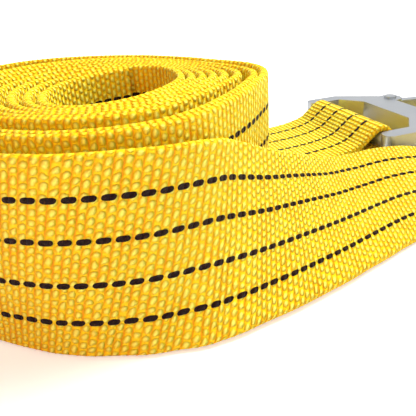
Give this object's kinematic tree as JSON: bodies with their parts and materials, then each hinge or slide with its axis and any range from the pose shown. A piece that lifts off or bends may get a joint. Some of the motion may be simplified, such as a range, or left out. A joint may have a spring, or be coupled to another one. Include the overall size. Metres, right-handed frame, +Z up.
{
  "type": "ratchet tie down",
  "caption": "Ratchet tie down for wide webbing: a coiled long strap, a short strap, flat snap hooks, and an open ratchet with toothed wheels, slotted spool, pawls and handle.",
  "frame": {"origin": "on the floor under the middle of the ratchet frame's base web", "axes": "+X from the coil along the short strap to the handle's tip, +Y across the webbing away from the long strap, +Z up"},
  "size_m": [0.5065, 0.1414, 0.05],
  "materials": {
    "webbing": "coarse woven polyester with dark dashed tracer lines",
    "zinc_plate": "bright zinc plate with a slight blue tint",
    "hardened_steel": "dull hardened steel",
    "spring_steel": "drawn wire",
    "grip_rubber": "moulded matte rubber"
  },
  "bodies": {
    "base": {"long_strap_coil": "webbing", "long_strap_run": "webbing", "long_strap_loop": "webbing", "short_strap": "webbing", "ratchet_frame": "zinc_plate", "bolt": "zinc_plate", "bolt_sleeve": "zinc_plate", "bolt_nut": "zinc_plate", "bolt_washer_left": "zinc_plate", "bolt_washer_right": "zinc_plate", "lock_spring_left": "spring_steel", "lock_spring_right": "spring_steel"},
    "spool": {"spool_bar_upper": "zinc_plate", "spool_bar_lower": "zinc_plate", "ratchet_wheel_left": "hardened_steel", "ratchet_wheel_right": "hardened_steel", "spool_clip_left": "zinc_plate", "spool_clip_right": "zinc_plate"},
    "handle": {"handle": "zinc_plate", "handle_grip": "grip_rubber", "handle_spacer": "zinc_plate", "drive_spring_left": "spring_steel", "drive_spring_right": "spring_steel"},
    "drive_pawl": {"drive_pawl": "zinc_plate"},
    "lock_pawl": {"lock_pawl": "zinc_plate"},
    "hook_a": {"hook_a_body": "zinc_plate", "hook_a_pin": "zinc_plate", "hook_a_gate_spring": "spring_steel"},
    "hook_a_gate": {"hook_a_gate": "zinc_plate"},
    "hook_b": {"hook_b_body": "zinc_plate", "hook_b_pin": "zinc_plate", "hook_b_gate_spring": "spring_steel"},
    "hook_b_gate": {"hook_b_gate": "zinc_plate"}
  },
  "joints": [
    {"name": "handle_swing", "type": "hinge", "parent": "base", "child": "handle", "pos_m": [0.036, 0, 0.024], "axis": [0, -1, 0], "range_deg": [0, 165]},
    {"name": "spool_spin", "type": "hinge", "parent": "base", "child": "spool", "pos_m": [0.036, 0, 0.024], "axis": [0, 1, 0], "continuous": true},
    {"name": "drive_pawl_slide", "type": "slide", "parent": "handle", "child": "drive_pawl", "axis": [1, 0, 0], "range_m": [0, 0.0045], "stiffness_N_per_m": 800, "springref_m": -0.004, "deforming": ["drive_spring_left", "drive_spring_right"]},
    {"name": "lock_pawl_slide", "type": "slide", "parent": "base", "child": "lock_pawl", "axis": [-0.9063, 0, -0.4226], "range_m": [0, 0.003], "stiffness_N_per_m": 800, "springref_m": -0.004, "deforming": ["lock_spring_left", "lock_spring_right"]},
    {"name": "hook_a_swing", "type": "hinge", "parent": "base", "child": "hook_a", "pos_m": [-0.09, -0.066, 0.006], "axis": [0, -1, 0], "range_deg": [0, 80]},
    {"name": "hook_b_swing", "type": "hinge", "parent": "base", "child": "hook_b", "pos_m": [-0.1894, 0, 0.0088], "axis": [0, -1, 0], "range_deg": [0, 80]},
    {"name": "hook_a_gate_swing", "type": "hinge", "parent": "hook_a", "child": "hook_a_gate", "pos_m": [-0.055, -0.0502, 0.006], "axis": [0, 0, -1], "range_deg": [0, 30], "stiffness_Nm_per_rad": 0.05, "springref_deg": -28.65},
    {"name": "hook_b_gate_swing", "type": "hinge", "parent": "hook_b", "child": "hook_b_gate", "pos_m": [-0.1544, 0.0158, 0.0088], "axis": [0, 0, -1], "range_deg": [0, 30], "stiffness_Nm_per_rad": 0.05, "springref_deg": -28.65}
  ]
}
